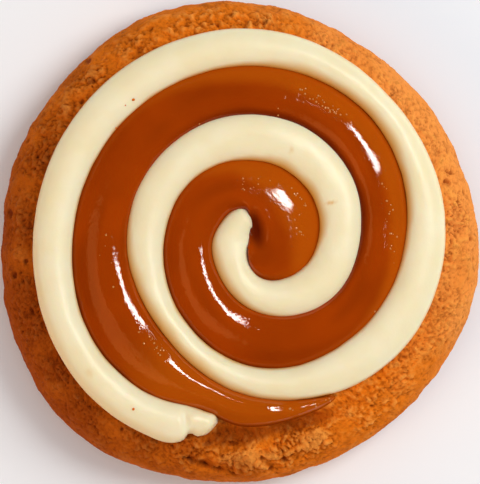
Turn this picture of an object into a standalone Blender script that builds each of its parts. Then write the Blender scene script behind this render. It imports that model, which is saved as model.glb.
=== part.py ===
"""A dulce de leche cookie: a thick round biscuit with two piped strands coiled side by side on its top.

Units are metres and +Z is up. The origin is on the table, under the middle of the biscuit. The coil starts near
the middle and runs anticlockwise and outwards, seen from above, and turns are counted in degrees from +X, past
360 on each further turn. The cream strand keeps its own course, and the caramel strand fills the channel between
two turns of the cream.
"""

import math

import bmesh
import bpy
from mathutils import Matrix, Vector, noise

MM = 0.001

# Biscuit. Its profile is a quarter ellipse under the widest ring and another above it, then the flat top.
BISCUIT_RADIUS = 54.8 * MM
BISCUIT_HEIGHT = 17.0 * MM
GIRTH_HEIGHT = 6.0 * MM
FOOT_INSET = 6.0 * MM
SHOULDER_INSET = 9.5 * MM
TURN_STEPS = 160
FOOT_RINGS = 5
SHOULDER_RINGS = 9
TOP_INSETS = (11.5 * MM, 13.5 * MM, 15.5 * MM, 30.0 * MM)

# The biscuit spread unevenly in the oven: waves round the outline, the swing of each, and where its crest points.
OUTLINE_WAVES = (
    (1, 1.16 * MM, -150),
    (2, 0.29 * MM, 61),
    (3, 1.05 * MM, -11),
    (5, 0.14 * MM, 10),
    (6, 0.22 * MM, -16),
    (9, 0.16 * MM, -4),
)

# Crags of the rim: the size of a lump, how far it stands in or out, and the finer lumps laid over it.
CRAG_SIZE = 6.0 * MM
CRAG_DEPTH = 0.35 * MM
FINE_CRAG_SIZE = 2.86 * MM
FINE_CRAG_SHARE = 0.6
FINE_CRAG_SHIFT = Vector((7.0, 3.0, 1.0))
CRAG_START_INSET = 8.0 * MM
CRAG_FULL_INSET = 4.5 * MM
CRAG_FOOT = 3.0 * MM

# Forms of the top beside the caramel's tail: x, y, half length, half width, direction in degrees, rise.
TOP_FORMS = {
    "hollow": (-2.0 * MM, -44.2 * MM, 11.0 * MM, 4.2 * MM, 3, -2.3 * MM),
    "groove": (13.0 * MM, -41.1 * MM, 14.5 * MM, 3.0 * MM, 15, -2.4 * MM),
    "shoulder": (1.0 * MM, -49.4 * MM, 10.0 * MM, 3.4 * MM, 8, 1.2 * MM),
    "mound": (16.8 * MM, -44.9 * MM, 6.0 * MM, 4.0 * MM, 22, 1.2 * MM),
    "crack": (-7.3 * MM, -50.9 * MM, 8.5 * MM, 2.0 * MM, -17, -1.7 * MM),
}

# Coil
COIL_CENTRE = (4.2 * MM, 0.8 * MM)
RING_STEP = 7.5
END_STRETCH = 45
END_STEP = 1.25
NOSE_STEPS = (0.02, 0.1, 0.25, 0.5, 0.78)
SEAT_GAP = 0.3 * MM
SIDE_GAP = 0.15 * MM
SECTION_SIDES = 12
WAIST = 0.42
FLATTENING = 0.6
TIP_SCALE = 0.3
THIN_WIDTH = 6.0 * MM
THIN_DROP = 0.6

# Cream strand: turn, radius of its middle, width across. It ends in two lobes with a notch between them.
CREAM_HEIGHT = 5.2 * MM
CREAM_COURSE = (
    (105, 5.2 * MM, 5.4 * MM),
    (135, 5.4 * MM, 5.8 * MM),
    (180, 6.0 * MM, 7.6 * MM),
    (225, 7.7 * MM, 8.4 * MM),
    (270, 12.8 * MM, 7.1 * MM),
    (315, 16.5 * MM, 8.6 * MM),
    (360, 18.7 * MM, 8.7 * MM),
    (405, 21.3 * MM, 9.7 * MM),
    (450, 23.2 * MM, 9.8 * MM),
    (495, 24.7 * MM, 8.4 * MM),
    (540, 25.7 * MM, 7.5 * MM),
    (585, 27.7 * MM, 4.7 * MM),
    (630, 32.9 * MM, 5.9 * MM),
    (675, 36.2 * MM, 9.3 * MM),
    (720, 38.3 * MM, 8.4 * MM),
    (765, 40.9 * MM, 5.8 * MM),
    (810, 43.7 * MM, 7.8 * MM),
    (855, 45.4 * MM, 8.6 * MM),
    (900, 47.0 * MM, 8.5 * MM),
    (930, 48.6 * MM, 7.7 * MM),
    (950, 48.2 * MM, 8.1 * MM),
    (960, 47.2 * MM, 8.4 * MM),
    (966, 46.3 * MM, 9.0 * MM),
    (969.5, 45.3 * MM, 7.4 * MM),
    (970.8, 44.5 * MM, 5.8 * MM),
    (972.8, 44.5 * MM, 5.9 * MM),
    (975.2, 43.7 * MM, 3.7 * MM),
    (977.5, 43.2 * MM, 1.8 * MM),
)
CREAM_START_NOSE = 28
CREAM_END_NOSE = 3

# Caramel strand. Its curl fills the bend of the cream's tip and folds round a crease. That side of the strand is
# given as turn, x and y from the coil's centre. Its tail runs out over the biscuit, and the free edge of that is
# given as turn and radius.
CARAMEL_HEIGHT = 4.8 * MM
CARAMEL_START = -142
CARAMEL_END = 656
CARAMEL_START_NOSE = 10
CARAMEL_END_NOSE = 8
CREASE = (
    (-142, -1.75 * MM, -1.5 * MM),
    (-120, -1.7 * MM, -1.4 * MM),
    (-100, -1.65 * MM, -1.1 * MM),
    (-73, -1.55 * MM, -0.5 * MM),
    (-24, -1.25 * MM, 0.7 * MM),
    (20, -1.0 * MM, 2.1 * MM),
    (54, -0.95 * MM, 3.7 * MM),
    (88, -1.45 * MM, 5.6 * MM),
    (110, -2.7 * MM, 7.3 * MM),
)
CREASE_END = 135
TAIL_START = 600
TAIL_EDGE = (
    (600, 42.9 * MM),
    (612, 41.4 * MM),
    (625, 42.9 * MM),
    (644, 41.6 * MM),
    (656, 41.0 * MM),
)

CREAM_COLOUR = (0.90, 0.78, 0.50, 1.0)
CARAMEL_COLOUR = (0.36, 0.07, 0.006, 1.0)
BISCUIT_COLOUR = (0.52, 0.17, 0.04, 1.0)


def clear_scene():
    """Take out whatever the scene holds."""
    for thing in list(bpy.data.objects):
        bpy.data.objects.remove(thing, do_unlink=True)


def make_material(name, colour, roughness):
    """A plain finish for one kind of food."""
    material = bpy.data.materials.new(name)
    material.use_nodes = True
    shader = material.node_tree.nodes["Principled BSDF"]
    shader.inputs["Base Color"].default_value = colour
    shader.inputs["Roughness"].default_value = roughness
    shader.inputs["Metallic"].default_value = 0.0
    return material


def add_object(name, mesh, material, collection):
    """Put a named object with its own material into the collection."""
    thing = bpy.data.objects.new(name, mesh)
    collection.objects.link(thing)
    thing.data.materials.append(material)
    return thing


def smooth_step(value, start, end):
    """0 at start and before, 1 at end and past it, with a soft change between them."""
    t = min(1.0, max(0.0, (value - start) / (end - start)))
    return t * t * (3 - 2 * t)


def course_at(stations, turn):
    """The values at a turn, on a smooth curve through stations of (turn, value, value...)."""
    last = len(stations) - 1
    after = next((i for i, station in enumerate(stations) if station[0] > turn), last)
    index = max(1, after)
    start, end = stations[index - 1], stations[index]
    span = end[0] - start[0]
    t = (turn - start[0]) / span

    def slope(at, column):
        before, behind = stations[max(0, at - 1)], stations[min(last, at + 1)]
        return (behind[column] - before[column]) / (behind[0] - before[0])

    values = []
    for column in range(1, len(start)):
        values.append(
            (2 * t**3 - 3 * t**2 + 1) * start[column]
            + (t**3 - 2 * t**2 + t) * span * slope(index - 1, column)
            + (3 * t**2 - 2 * t**3) * end[column]
            + (t**3 - t**2) * span * slope(index, column)
        )
    return values


# Biscuit


def outline_radius(angle):
    """How far the uneven outline lies from the middle, in a direction given in radians."""
    swings = (swing * math.cos(waves * (angle - math.radians(crest))) for waves, swing, crest in OUTLINE_WAVES)
    return BISCUIT_RADIUS + sum(swings)


def biscuit_profile():
    """(radius, height) from the middle of the top, out over the shoulder and down the side to the foot."""
    points = [(0.0, BISCUIT_HEIGHT)]
    for inset in sorted(TOP_INSETS, reverse=True):
        points.append((BISCUIT_RADIUS - inset, BISCUIT_HEIGHT))
    for ring in range(SHOULDER_RINGS + 1):
        t = math.radians(90 * (1 - ring / SHOULDER_RINGS))
        radius = BISCUIT_RADIUS - SHOULDER_INSET * (1 - math.cos(t))
        points.append((radius, GIRTH_HEIGHT + (BISCUIT_HEIGHT - GIRTH_HEIGHT) * math.sin(t)))
    for ring in range(1, FOOT_RINGS + 1):
        t = math.radians(90 * ring / FOOT_RINGS)
        radius = BISCUIT_RADIUS - FOOT_INSET * (1 - math.cos(t))
        points.append((radius, GIRTH_HEIGHT * (1 - math.sin(t))))
    return points


def turned_mesh(name, profile, steps):
    """The profile swept once round the Z axis, open at the foot."""
    line = bpy.data.meshes.new(name + "_profile")
    bm = bmesh.new()
    verts = [bm.verts.new((radius, 0.0, height)) for radius, height in profile]
    for first, second in zip(verts, verts[1:]):
        bm.edges.new((first, second))
    bm.to_mesh(line)
    bm.free()

    guide = bpy.data.objects.new(name + "_guide", line)
    bpy.context.scene.collection.objects.link(guide)
    screw = guide.modifiers.new("Turn", "SCREW")
    screw.axis = "Z"
    screw.angle = math.tau
    screw.steps = steps
    screw.render_steps = steps
    screw.use_merge_vertices = True
    screw.merge_threshold = 0.00001
    bpy.context.view_layer.update()
    solid = bpy.data.meshes.new_from_object(guide.evaluated_get(bpy.context.evaluated_depsgraph_get()))
    bpy.data.objects.remove(guide, do_unlink=True)
    return solid


def form_rise(x, y):
    """How far the hollow, mounds and crack beside the tail lift or sink the top at a place."""
    rise = 0.0
    for centre_x, centre_y, half_length, half_width, direction, height in TOP_FORMS.values():
        away = Vector((x - centre_x, y - centre_y))
        along = Vector((math.cos(math.radians(direction)), math.sin(math.radians(direction))))
        across = Vector((-along.y, along.x))
        reach = math.hypot(away.dot(along) / half_length, away.dot(across) / half_width)
        rise += height * (1 - smooth_step(reach, 0.0, 1.0))
    return rise


def crag(place, inset):
    """How far the surface stands out at a place on the rim, nought on the top and at the foot."""
    weight = 1 - smooth_step(inset, CRAG_FULL_INSET, CRAG_START_INSET)
    weight *= smooth_step(place.z, 0.0, CRAG_FOOT)
    coarse = noise.noise(place / CRAG_SIZE)
    fine = noise.noise(place / FINE_CRAG_SIZE + FINE_CRAG_SHIFT)
    return CRAG_DEPTH * weight * (coarse + FINE_CRAG_SHARE * fine)


def build_biscuit(material, collection):
    """The biscuit: turned, spread to its uneven outline, then given its crags and the forms of its top."""
    mesh = turned_mesh("biscuit", biscuit_profile(), TURN_STEPS)
    bm = bmesh.new()
    bm.from_mesh(mesh)
    bmesh.ops.holes_fill(bm, edges=[edge for edge in bm.edges if edge.is_boundary], sides=0)
    bmesh.ops.recalc_face_normals(bm, faces=bm.faces)
    bm.normal_update()

    for vert in bm.verts:
        angle = math.atan2(vert.co.y, vert.co.x)
        stretch = outline_radius(angle) / BISCUIT_RADIUS
        vert.co.x *= stretch
        vert.co.y *= stretch
    for vert in bm.verts:
        angle = math.atan2(vert.co.y, vert.co.x)
        inset = outline_radius(angle) - math.hypot(vert.co.x, vert.co.y)
        shift = crag(vert.co, inset)
        lift = form_rise(vert.co.x, vert.co.y) if vert.co.z > GIRTH_HEIGHT else 0.0
        vert.co += vert.normal * shift + Vector((0, 0, lift))

    bm.to_mesh(mesh)
    bm.free()
    mesh.shade_smooth()
    return add_object("biscuit", mesh, material, collection)


# Coil


def polar(radius, turn):
    """The place at a radius and a turn about the coil's centre."""
    return Vector((COIL_CENTRE[0] + radius * math.cos(math.radians(turn)),
                   COIL_CENTRE[1] + radius * math.sin(math.radians(turn))))


def cream_sides(turn):
    """The inner and the outer side of the cream strand at a turn."""
    radius, width = course_at(CREAM_COURSE, turn)
    return polar(radius - width / 2, turn), polar(radius + width / 2, turn)


def caramel_inner_side(turn):
    """The side of the caramel strand that lies on the crease, or later against the turn of cream inside it."""
    if turn >= CREASE_END:
        return cream_sides(turn)[1]
    meeting = cream_sides(CREASE_END)[1] - Vector(COIL_CENTRE)
    x, y = course_at(CREASE + ((CREASE_END, meeting.x, meeting.y),), turn)
    return Vector((COIL_CENTRE[0] + x, COIL_CENTRE[1] + y))


def caramel_outer_side(turn):
    """The side of the caramel strand that lies against the next turn of cream, or is free along the tail."""
    if turn >= TAIL_START:
        return polar(course_at(TAIL_EDGE, turn)[0], turn)
    return cream_sides(turn + 360)[0]


def caramel_sides(turn):
    """The inner and the outer side of the caramel strand at a turn."""
    return caramel_inner_side(turn), caramel_outer_side(turn)


def ring_turns(start, end, start_nose, end_nose):
    """The turns that get a ring: common spokes along the strand, then finer ones near its outer end and its noses."""
    first = math.ceil((start + start_nose) / RING_STEP)
    middle = math.floor((end - END_STRETCH) / RING_STEP)
    body = [step * RING_STEP for step in range(first, middle + 1)]
    while body[-1] + END_STEP < end - end_nose:
        body.append(body[-1] + END_STEP)
    opening = [start + start_nose * step for step in NOSE_STEPS]
    closing = [end - end_nose * step for step in reversed(NOSE_STEPS)]
    return opening + body + closing


def nose_scale(turn, start, end, start_nose, end_nose):
    """1 along the strand, falling along a quarter circle to the small face at each tip."""
    near = min(1.0, (turn - start) / start_nose, (end - turn) / end_nose)
    return max(TIP_SCALE, math.sqrt(1 - (1 - near) ** 2))


def shape_section(bm, verts):
    """Press a unit circle into the section of a piped strand that has settled on its underside."""
    for vert in verts:
        across, height = vert.co.x, vert.co.y
        if height >= 0:
            level = WAIST + (1 - WAIST) * height
        else:
            level = WAIST * (1 - min(1.0, -height) ** FLATTENING)
        vert.co = Vector((across, 0.0, level))


def section_frame(sides, height, scale):
    """The matrix that takes the unit section to its place between the two sides, lower where they are close."""
    inner, outer = sides
    reach = outer - inner
    across = reach.normalized()
    middle = (inner + outer) / 2
    half = (reach.length / 2 - SIDE_GAP) * scale
    rise = height * min(1.0, reach.length / THIN_WIDTH) ** THIN_DROP * scale
    base = BISCUIT_HEIGHT + SEAT_GAP
    return Matrix((
        (across.x * half, -across.y, 0.0, middle.x),
        (across.y * half, across.x, 0.0, middle.y),
        (0.0, 0.0, rise, base),
        (0.0, 0.0, 0.0, 1.0),
    ))


def strand_mesh(name, sides, height, start, end, start_nose, end_nose):
    """A strand swept ring by ring along its course, with a rounded nose at both ends."""
    turns = ring_turns(start, end, start_nose, end_nose)
    frames = [
        section_frame(sides(turn), height, nose_scale(turn, start, end, start_nose, end_nose))
        for turn in turns
    ]
    bm = bmesh.new()
    ring = bmesh.ops.create_circle(bm, segments=SECTION_SIDES, radius=1.0)["verts"]
    shape_section(bm, ring)
    bmesh.ops.transform(bm, matrix=frames[0], verts=ring)
    edges = list(bm.edges)
    bmesh.ops.contextual_create(bm, geom=edges)
    for before, after in zip(frames, frames[1:]):
        grown = bmesh.ops.extrude_edge_only(bm, edges=edges)["geom"]
        ring = [item for item in grown if isinstance(item, bmesh.types.BMVert)]
        edges = [item for item in grown if isinstance(item, bmesh.types.BMEdge)]
        bmesh.ops.transform(bm, matrix=after @ before.inverted(), verts=ring)
    bmesh.ops.contextual_create(bm, geom=edges)
    bmesh.ops.recalc_face_normals(bm, faces=bm.faces)

    mesh = bpy.data.meshes.new(name)
    bm.to_mesh(mesh)
    bm.free()
    mesh.shade_smooth()
    return mesh


def build_cream(material, collection):
    """The cream strand, from its tip at the crease to its end beside the caramel's tail."""
    mesh = strand_mesh(
        "cream_swirl", cream_sides, CREAM_HEIGHT,
        CREAM_COURSE[0][0], CREAM_COURSE[-1][0], CREAM_START_NOSE, CREAM_END_NOSE,
    )
    return add_object("cream_swirl", mesh, material, collection)


def build_caramel(material, collection):
    """The caramel strand, from its curl to its thin tail."""
    mesh = strand_mesh(
        "dulce_de_leche_swirl", caramel_sides, CARAMEL_HEIGHT,
        CARAMEL_START, CARAMEL_END, CARAMEL_START_NOSE, CARAMEL_END_NOSE,
    )
    return add_object("dulce_de_leche_swirl", mesh, material, collection)


def main():
    """Build the cookie in a collection of its own."""
    clear_scene()
    cookie = bpy.data.collections.new("dulce_de_leche_cookie")
    bpy.context.scene.collection.children.link(cookie)
    build_biscuit(make_material("baked_biscuit", BISCUIT_COLOUR, 0.75), cookie)
    build_cream(make_material("cream", CREAM_COLOUR, 0.4), cookie)
    build_caramel(make_material("caramel", CARAMEL_COLOUR, 0.12), cookie)


main()
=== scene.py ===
"""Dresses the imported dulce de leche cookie: a craggy biscuit, a cream strand and a glossy caramel strand.

Units are metres and +Z is up. The two strands are coiled side by side on the biscuit, anticlockwise and
outwards seen from above, and turns are counted in degrees from +X, past 360 on each further turn.
"""

import math
import random

import bmesh
import bpy
from bpy.props import FloatProperty, FloatVectorProperty, IntProperty, PointerProperty
from mathutils import Matrix, Vector, noise
from mathutils.bvhtree import BVHTree
from mathutils.geometry import intersect_point_line


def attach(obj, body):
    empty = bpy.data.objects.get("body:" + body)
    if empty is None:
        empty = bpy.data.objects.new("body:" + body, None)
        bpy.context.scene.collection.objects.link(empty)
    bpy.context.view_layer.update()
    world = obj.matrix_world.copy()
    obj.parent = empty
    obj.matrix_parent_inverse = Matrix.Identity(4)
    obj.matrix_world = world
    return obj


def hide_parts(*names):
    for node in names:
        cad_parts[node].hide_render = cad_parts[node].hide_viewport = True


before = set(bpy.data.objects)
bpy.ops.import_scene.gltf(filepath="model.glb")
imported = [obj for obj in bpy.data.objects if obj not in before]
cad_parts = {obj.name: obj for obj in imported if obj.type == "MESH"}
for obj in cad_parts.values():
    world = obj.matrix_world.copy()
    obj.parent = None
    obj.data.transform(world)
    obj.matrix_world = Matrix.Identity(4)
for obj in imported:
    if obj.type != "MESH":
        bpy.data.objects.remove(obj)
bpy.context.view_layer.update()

bl_info = {
    "name": "Dulce de Leche Cookie",
    "version": (1, 0, 0),
    "blender": (4, 5, 0),
    "location": "View3D > Sidebar > Cookie",
    "description": "Biscuit with a cream strand and a caramel strand coiled on it, in a plain studio",
    "category": "Add Mesh",
}

MM = 0.001
BODY = "root"


def oval(x, y, half_length, half_width, direction, amount):
    """An oval form, from its middle and halves in millimetres, its direction in degrees and its strength."""
    return x * MM, y * MM, half_length * MM, half_width * MM, direction, amount


def bubble_row(x1, y1, x2, y2, count, spread):
    """A row of bubbles, from both its ends in millimetres, how many and how far they spread to the sides."""
    return x1 * MM, y1 * MM, x2 * MM, y2 * MM, count, spread * MM


# Biscuit: a quarter ellipse under the widest ring and another above it, then the flat top.
GIRTH_HEIGHT = 6.0 * MM
FOOT_INSET = 6.0 * MM
SHOULDER_INSET = 9.5 * MM
CRUMB_INSET = 16.5 * MM
SHOULDER_LENGTH = 16.1 * MM
FOOT_LENGTH = 9.4 * MM
FLAT_SPACING = 1.4
MERGE_DISTANCE = 0.005 * MM
COARSE_TOP = (0.0, 12.0 * MM, 26.0 * MM, 35.0 * MM)
COARSE_FOOT = (45.0 * MM, 40.0 * MM, 34.0 * MM, 27.0 * MM, 19.0 * MM, 10.0 * MM, 0.0)
OUTLINE_WAVES = (
    (1, 1.16 * MM, -150),
    (2, 0.29 * MM, 61),
    (3, 1.05 * MM, -11),
    (5, 0.14 * MM, 10),
    (6, 0.22 * MM, -16),
    (9, 0.16 * MM, -4),
)

# Crags of the rim, as in the solid, then the finer relief that only the looks have.
CRAG_SIZE = 6.0 * MM
CRAG_DEPTH = 0.35 * MM
FINE_CRAG_SIZE = 2.86 * MM
FINE_CRAG_SHARE = 0.6
FINE_CRAG_SHIFT = Vector((7.0, 3.0, 1.0))
CRAG_START_INSET = 8.0 * MM
CRAG_FULL_INSET = 4.5 * MM
CRAG_FOOT = 3.0 * MM
RELIEF_FOOT = 1.6 * MM
LUMP_SIZE = 3.4 * MM
LUMP_DEPTH = 0.5 * MM
LUMP_SHIFT = Vector((3.0, 9.0, 5.0))
CRUMB_SIZE = 1.5 * MM
CRUMB_DEPTH = 0.95 * MM
CRUMB_LEVEL = 0.45
CRACK_LEVEL = 0.32
CRUMB_FULL_INSET = 4.0 * MM
CRUMB_FADE = 3.0 * MM
RIM_RELIEF = 0.45
PATCH_SIZE = 8.0 * MM
PIT_SPACING = 2.1 * MM
PIT_SHARE = 0.45
PIT_DEPTH = 0.6 * MM
PIT_BEND = 0.55 * MM
PIT_BEND_SIZE = 1.6 * MM
TORN_BEND = 0.35 * MM
TORN_BEND_SIZE = 0.9 * MM
TORN_REACH = 2.5 * MM
BEND_SEED = 1
FOOT_DIMPLE = 0.10 * MM
FOOT_DIMPLE_SIZE = 2.5 * MM
FLAT_TOLERANCE = 0.016 * MM
# Towards this side the crust is browner: uneven baking, and painted shade on the side turned away from the
# lights.
BAKED_AND_SHADED_SIDE = math.radians(200)
# Towards this side the crust is painted paler: a painted sheen on the side facing the lights.
PAINTED_SHEEN_SIDE = math.radians(22)

# Forms of the top beside the caramel's tail: x, y, half length, half width, direction in degrees, rise. The crust
# is painted darker with shade where they sink it by more than the first depth, up to the second.
RECESS_SHADE = (0.2 * MM, 1.7 * MM)
TOP_FORMS = {
    "hollow": oval(-2.0, -44.2, 11.0, 4.2, 3, -2.3 * MM),
    "groove": oval(13.0, -41.1, 14.5, 3.0, 15, -2.4 * MM),
    "shoulder": oval(1.0, -49.4, 10.0, 3.4, 8, 1.2 * MM),
    "mound": oval(16.8, -44.9, 6.0, 4.0, 22, 1.2 * MM),
    "crack": oval(-7.3, -50.9, 8.5, 2.0, -17, -1.7 * MM),
}

# Where the crust is broken and its crumb stands out more: x, y, half length, half width, direction in
# degrees, how much more.
BROKEN_CRUST = {
    "below_tail": oval(4.0, -48.0, 27.0, 8.0, 6, 0.9),
    "upper_left": oval(-38.0, 34.0, 16.0, 7.0, 44, 0.6),
    "top": oval(4.0, 50.5, 26.0, 6.5, 178, 0.4),
    "right": oval(49.5, 3.0, 24.0, 7.0, 95, 0.7),
}

# Torn pits that are larger than the rest: x, y, half length, half width, direction in degrees, depth.
TORN_PITS = (
    oval(-11.9, -49.7, 1.9, 0.6, -28, 1.1 * MM),
    oval(-8.2, -51.2, 1.3, 0.7, -20, 1.1 * MM),
    oval(-5.0, -51.9, 1.7, 0.6, -25, 1.0 * MM),
    oval(-1.6, -53.0, 1.7, 0.4, -26, 0.9 * MM),
    oval(5.1, -49.4, 1.2, 0.5, 10, 0.8 * MM),
    oval(9.9, -49.6, 1.3, 0.6, 15, 0.8 * MM),
    oval(7.0, -51.9, 1.5, 0.5, 8, 0.7 * MM),
    oval(-7.5, -46.0, 1.6, 0.9, 20, 0.9 * MM),
    oval(-1.6, -45.9, 1.5, 0.7, -12, 0.9 * MM),
    oval(-52.6, 6.6, 0.8, 1.5, 5, 0.9 * MM),
    oval(-51.6, -7.7, 0.7, 1.1, 0, 0.8 * MM),
    oval(-48.9, -4.4, 0.6, 0.9, 0, 0.7 * MM),
    oval(-47.6, -15.6, 0.6, 1.3, 15, 0.8 * MM),
    oval(-33.8, 36.6, 1.4, 0.8, 40, 0.8 * MM),
    oval(-36.1, 32.1, 0.9, 0.7, 50, 0.7 * MM),
    oval(-34.8, 41.5, 1.2, 0.8, 40, 0.7 * MM),
    oval(-25.0, 46.1, 0.8, 0.5, 60, 0.6 * MM),
    oval(-20.4, 48.7, 1.3, 0.5, 15, 0.8 * MM),
    oval(-5.3, 49.6, 0.7, 0.5, 0, 0.6 * MM),
    oval(5.7, 50.2, 1.2, 0.6, 20, 0.8 * MM),
    oval(19.0, 44.8, 0.9, 0.5, -30, 0.6 * MM),
    oval(47.2, 14.0, 0.9, 0.5, 10, 0.8 * MM),
    oval(47.8, 16.0, 1.8, 0.4, -15, 0.7 * MM),
    oval(49.6, 9.3, 0.5, 0.7, 0, 0.6 * MM),
    oval(52.7, 0.9, 0.5, 0.9, 0, 0.6 * MM),
)

# Coil
COIL_CENTRE = (4.2 * MM, 0.8 * MM)
SEAT_SINK = 0.25 * MM
CREAM_LAP = 0.7 * MM
CARAMEL_LAP = -0.1 * MM
CARAMEL_LEAN = -0.22
LEAN_SWING = 0.16
LEAN_TURN = 45
CURL_LEAN = -0.22
RING_STEP = 0.8
NOSE_RINGS = 14
WAIST = 0.42
FLATTENING = 0.6
TIP_SCALE = 0.04
THIN_WIDTH = 6.0 * MM
THIN_DROP = 0.6

# Cream strand: turn, radius of its middle, width across.
CREAM_COURSE = (
    (104, 5.7 * MM, 5.2 * MM),
    (114, 5.4 * MM, 5.6 * MM),
    (125, 5.6 * MM, 6.0 * MM),
    (143, 5.5 * MM, 7.0 * MM),
    (158, 5.6 * MM, 7.2 * MM),
    (180, 6.1 * MM, 7.8 * MM),
    (225, 7.7 * MM, 8.4 * MM),
    (270, 12.8 * MM, 7.1 * MM),
    (315, 16.5 * MM, 8.6 * MM),
    (360, 18.7 * MM, 8.7 * MM),
    (405, 21.3 * MM, 9.7 * MM),
    (450, 23.2 * MM, 9.8 * MM),
    (495, 24.7 * MM, 8.4 * MM),
    (540, 25.7 * MM, 7.5 * MM),
    (585, 27.7 * MM, 4.7 * MM),
    (630, 32.9 * MM, 5.9 * MM),
    (675, 36.2 * MM, 9.3 * MM),
    (720, 38.3 * MM, 8.4 * MM),
    (765, 40.9 * MM, 5.8 * MM),
    (810, 43.7 * MM, 7.8 * MM),
    (855, 45.4 * MM, 8.6 * MM),
    (900, 47.0 * MM, 8.5 * MM),
    (930, 48.6 * MM, 7.7 * MM),
    (950, 48.2 * MM, 8.1 * MM),
    (960, 47.2 * MM, 8.4 * MM),
    (966, 46.3 * MM, 9.0 * MM),
    (969.3, 45.4 * MM, 7.6 * MM),
    (970.7, 44.5 * MM, 5.7 * MM),
    (972.8, 44.6 * MM, 5.8 * MM),
    (975.4, 44.0 * MM, 4.6 * MM),
    (976.8, 43.4 * MM, 2.8 * MM),
    (977.6, 43.1 * MM, 1.6 * MM),
)
CREAM_START_NOSE = 20
CREAM_END_NOSE = 1.5

# Caramel strand. Its curl folds round a crease, whose side of the strand is given as turn, x and y from the
# coil's centre. Its tail runs out over the biscuit, and the free edge of that is given as turn and radius.
CARAMEL_START = -142
CARAMEL_END = 656
CARAMEL_START_NOSE = 10
CARAMEL_END_NOSE = 8
CREASE = (
    (-142, -2.65 * MM, -1.9 * MM),
    (-120, -2.55 * MM, -1.5 * MM),
    (-100, -2.4 * MM, -1.0 * MM),
    (-73, -2.15 * MM, -0.2 * MM),
    (-24, -1.7 * MM, 1.0 * MM),
    (20, -1.45 * MM, 2.3 * MM),
    (54, -1.4 * MM, 3.8 * MM),
    (88, -1.9 * MM, 5.4 * MM),
    (110, -3.1 * MM, 7.0 * MM),
)
CREASE_END = 135
TAIL_START = 600
TAIL_AMBER = 0.6
TAIL_EDGE = (
    (600, 42.9 * MM),
    (612, 41.4 * MM),
    (625, 42.9 * MM),
    (644, 41.6 * MM),
    (656, 41.0 * MM),
)

# Forms of the strands' tops, given as the biscuit's are: the fold that the caramel's curl closes round, and
# the notch and the lower second lobe of the cream's end, which are made past a turn.
CURL_FORMS = {
    # The pit is also painted with shade on the caramel.
    "pit": oval(3.5, 3.0, 5.8, 2.4, 101, -1.5 * MM),
    "ridge": oval(5.6, 5.4, 4.2, 1.5, 112, 0.22 * MM),
    "lip": oval(4.4, -1.4, 2.8, 1.1, 32, 0.35 * MM),
}
END_FORMS = {
    "notch": oval(-12.2, -41.0, 4.6, 1.3, 100, -0.7 * MM),
    "second_lobe": oval(-8.9, -42.6, 5.0, 3.6, 35, -0.7 * MM),
}
END_FORMS_START = 950

# Rows of small bubbles in the caramel: x and y of both ends, bubbles, spread to the sides. Along the first
# few rows its skin is rippled and dull, fully up to the first reach and not at all past the second.
BUBBLE_ROWS = (
    bubble_row(13.6, 35.0, 24.0, 28.2, 30, 0.9),
    bubble_row(32.7, 14.6, 35.6, -6.0, 20, 1.1),
    bubble_row(-21.6, -21.4, -17.4, -25.4, 14, 0.8),
    bubble_row(0.4, 13.0, 7.2, 13.4, 10, 1.4),
    bubble_row(12.8, 6.4, 13.4, -1.0, 9, 1.3),
    bubble_row(11.2, -37.9, 12.2, -37.7, 4, 0.5),
    bubble_row(16.6, -37.2, 21.0, -35.6, 6, 0.5),
    bubble_row(-32.0, 2.0, -20.0, -30.0, 8, 1.6),
    bubble_row(36.0, -8.0, 26.0, -28.0, 8, 2.0),
    bubble_row(-12.0, 26.0, 12.0, 29.0, 7, 2.4),
    bubble_row(11.2, 12.8, 15.6, 7.4, 9, 0.3),
)
RIPPLED_ROWS = 6
RIPPLED_REACH = (1.3 * MM, 2.6 * MM)
BUBBLE_SIZE = (0.10 * MM, 0.26 * MM)
BUBBLE_FLATNESS = 0.5
# The bubbles are tinted paler: painted glints.
BUBBLE_GLINT_TINT = 0.6

# Caramel stains the cream in a thin band where they touch; on the flanks that face this way, turned from the
# lights, the band is widened with painted warm shade. The cream's outer side lies open after the last covered
# turn, and where no caramel touches the cream the band is a weaker painted shade.
SHADED_FLANK_DIRECTION = 226
THIN_STAIN_AND_SHADE = 0.5 * MM
INNER_STAIN_AND_SHADE = 2.25 * MM
OUTER_STAIN_AND_SHADE = 2.4 * MM
OPEN_SIDE_SHADE = 0.4
STAIN_AND_SHADE_WAVER_LENGTH = 6 * MM
STAIN_AND_SHADE_WAVER = 0.35
FIRST_TOUCH = 330
LAST_COVERED = 655

# Soft unevenness along the strands: the length of a wave, and how far it stands out.
CREAM_WAVE_LENGTH = 9 * MM
CREAM_WAVE = 0.14 * MM
CREAM_RIPPLE_LENGTH = 3 * MM
CREAM_RIPPLE = 0.05 * MM
PULL_LENGTH = 16 * MM
PULL_DEPTH = 0.16 * MM
RIDGE_LENGTH = 7 * MM
RIDGE_DEPTH = 0.045 * MM
DENT_SIZE = 2.2 * MM
DENT_DEPTH = 0.03 * MM
STREAK_LENGTH = 22 * MM
WAVER_LENGTH = 4 * MM
WAVER = 0.06

# Things that lie on the strands are dropped on them from this height.
DROP_HEIGHT = 1.0
DOWN = Vector((0, 0, -1))

# Specks that lie on the cream: x, y, radius.
SPECKS = (
    (-24.2 * MM, 32.3 * MM, 0.34 * MM),
    (-24.2 * MM, -37.9 * MM, 0.32 * MM),
    (-26.0 * MM, 31.0 * MM, 0.16 * MM),
    (-28.2 * MM, 25.9 * MM, 0.20 * MM),
    (-33.5 * MM, -19.0 * MM, 0.15 * MM),
)
SPECK_ROUGH_SIZE = 0.3 * MM

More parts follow.
